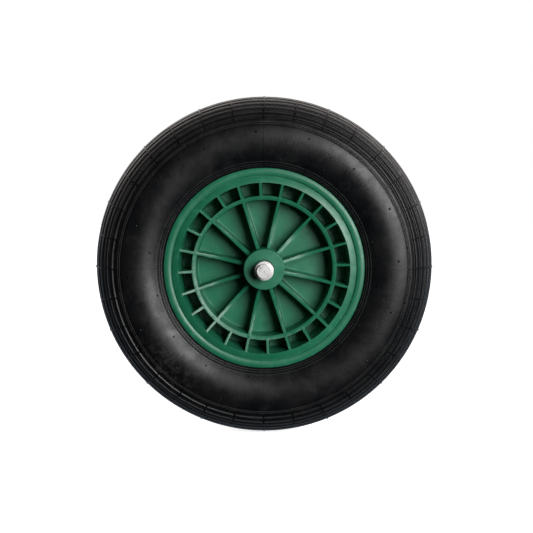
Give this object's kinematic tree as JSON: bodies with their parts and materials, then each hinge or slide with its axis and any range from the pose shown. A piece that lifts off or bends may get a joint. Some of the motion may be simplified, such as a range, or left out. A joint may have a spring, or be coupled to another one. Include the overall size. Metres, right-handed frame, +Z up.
{
  "type": "wheelbarrow wheel",
  "caption": "Pneumatic wheelbarrow wheel: ribbed black tyre with inner tube on a green spoked plastic rim, roller bearings on a fixed steel axle with turned-down ends.",
  "frame": {"origin": "centre of the wheel, on its axle and in its middle plane", "axes": "+Y along the axle towards the valve side, +Z up, the spoked front that has no valve faces -Y"},
  "size_m": [0.3999, 0.142, 0.4],
  "materials": {
    "rim_plastic": "semi-gloss moulded polypropylene, dark green",
    "tyre_rubber": "moulded black tyre rubber with a soft sheen",
    "tube_rubber": "smooth black butyl rubber",
    "axle_steel": "turned and zinc plated",
    "bearing_steel": "ground",
    "spring_steel": "dark spring steel",
    "nylon": "natural nylon",
    "valve_brass": "machined brass",
    "cap_plastic": "black moulded plastic"
  },
  "bodies": {
    "axle": {"axle": "axle_steel", "thrust_washer_front": "bearing_steel", "thrust_washer_back": "bearing_steel", "circlip_front": "spring_steel", "circlip_back": "spring_steel"},
    "wheel": {"rim_front_half": "rim_plastic", "rim_back_half": "rim_plastic", "tyre": "tyre_rubber", "bead_wire_front": "spring_steel", "bead_wire_back": "spring_steel", "inner_tube": "tube_rubber", "hub_sleeve": "axle_steel", "bearing_spacer": "nylon", "hub_cap_front": "rim_plastic", "hub_cap_back": "rim_plastic", "dust_seal_front": "tube_rubber", "dust_seal_back": "tube_rubber", "valve_foot": "tube_rubber", "valve_stem": "valve_brass", "valve_core": "valve_brass", "valve_core_seal": "tube_rubber", "valve_spring": "spring_steel"},
    "cage_front": {"roller_cage_front": "nylon", "rollers_front": "bearing_steel"},
    "cage_back": {"roller_cage_back": "nylon", "rollers_back": "bearing_steel"},
    "valve_pin": {"valve_pin": "valve_brass", "valve_pin_seal": "tube_rubber"},
    "valve_cap": {"valve_cap": "cap_plastic", "valve_cap_seal": "tube_rubber"}
  },
  "joints": [
    {"name": "wheel_spin", "type": "hinge", "parent": "axle", "child": "wheel", "pos_m": [0, 0, 0], "axis": [0, 1, 0], "continuous": true},
    {"name": "cage_spin_front", "type": "hinge", "parent": "axle", "child": "cage_front", "pos_m": [0, 0, 0], "axis": [0, 1, 0], "continuous": true},
    {"name": "cage_spin_back", "type": "hinge", "parent": "axle", "child": "cage_back", "pos_m": [0, 0, 0], "axis": [0, 1, 0], "continuous": true},
    {"name": "valve_pin_press", "type": "slide", "parent": "wheel", "child": "valve_pin", "axis": [0, -1, 0], "range_m": [0, 0.0013], "stiffness_N_per_m": 800, "springref_m": -0.002, "deforming": ["valve_spring"]},
    {"name": "valve_cap_off", "type": "slide", "parent": "wheel", "child": "valve_cap", "axis": [0, 1, 0], "range_m": [0, 0.025]}
  ],
  "couplings": [
    {"joint": "cage_spin_front", "follows": "wheel_spin", "ratio": 0.59259},
    {"joint": "cage_spin_back", "follows": "wheel_spin", "ratio": 0.59259}
  ]
}
